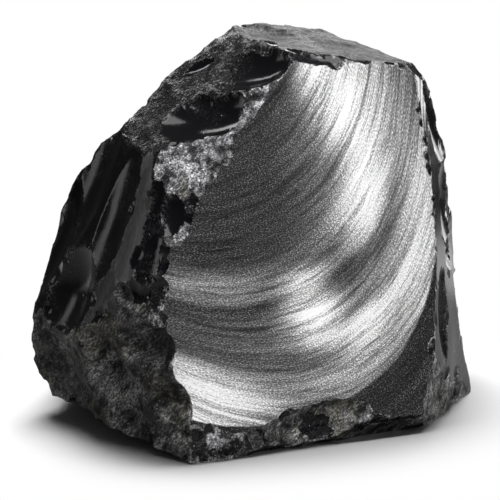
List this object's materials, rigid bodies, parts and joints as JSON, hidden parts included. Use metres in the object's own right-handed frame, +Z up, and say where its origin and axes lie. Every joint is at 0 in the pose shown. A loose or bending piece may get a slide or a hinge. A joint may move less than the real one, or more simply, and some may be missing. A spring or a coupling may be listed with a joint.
{
  "type": "obsidian chunk",
  "caption": "Upright chunk of black volcanic glass with one flat sawn silver-sheen face, flaked facets and hollows on every other side, and a flat underside to stand on.",
  "frame": {"origin": "middle of the floor area that the stone covers, at the height of its base", "axes": "+Z up from the base, +X to the right of the sawn face and along the longest side, -Y out of the sawn face"},
  "size_m": [0.1206, 0.0916, 0.1047],
  "materials": {
    "volcanic_glass": "Opaque black volcanic glass: glossy in the fresh flake scars, grey and rough on the weathered crust, and silver with curved streaks on the sawn face."
  },
  "bodies": {
    "root": {"obsidian_chunk": "volcanic_glass"}
  },
  "joints": []
}
